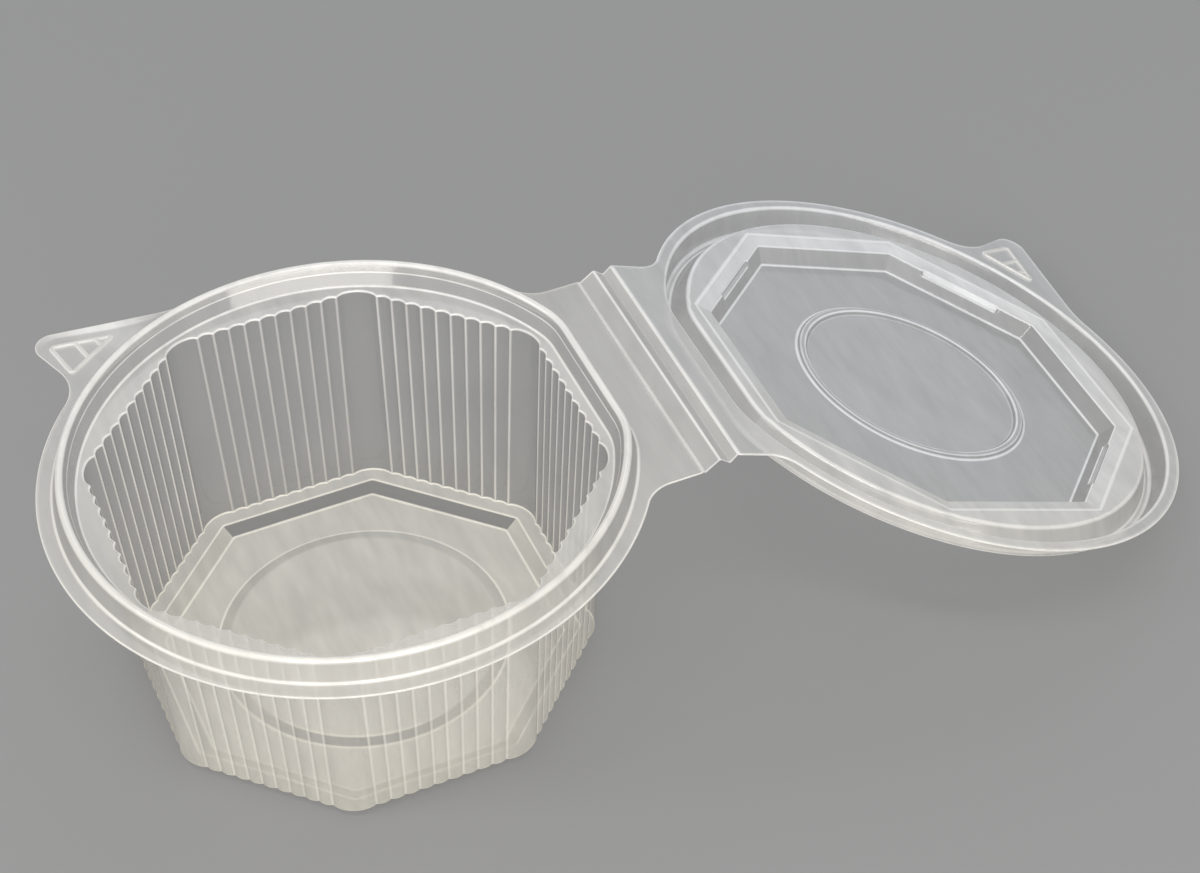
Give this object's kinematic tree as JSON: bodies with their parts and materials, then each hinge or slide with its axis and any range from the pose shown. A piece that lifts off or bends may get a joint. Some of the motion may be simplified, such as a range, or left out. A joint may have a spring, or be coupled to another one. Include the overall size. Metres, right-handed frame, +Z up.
{
  "type": "food container",
  "caption": "Round clear plastic food tub with a fluted octagonal wall and an attached press-fit lid, standing open.",
  "frame": {"origin": "middle of the tub's foot, on the surface that it stands on", "axes": "+Z up along the tub's axis, +X from the tub to the hinge and the open lid, +Y along the hinge"},
  "size_m": [0.2667, 0.1332, 0.0604],
  "materials": {
    "clear_sheet": "clear and glossy"
  },
  "bodies": {
    "tub": {"tub": "clear_sheet"},
    "lid": {"lid": "clear_sheet"}
  },
  "joints": [
    {"name": "lid_hinge", "type": "hinge", "parent": "tub", "child": "lid", "pos_m": [0.0725, 0, 0.0568], "axis": [0, -1, 0], "range_deg": [0, 202.96]}
  ]
}
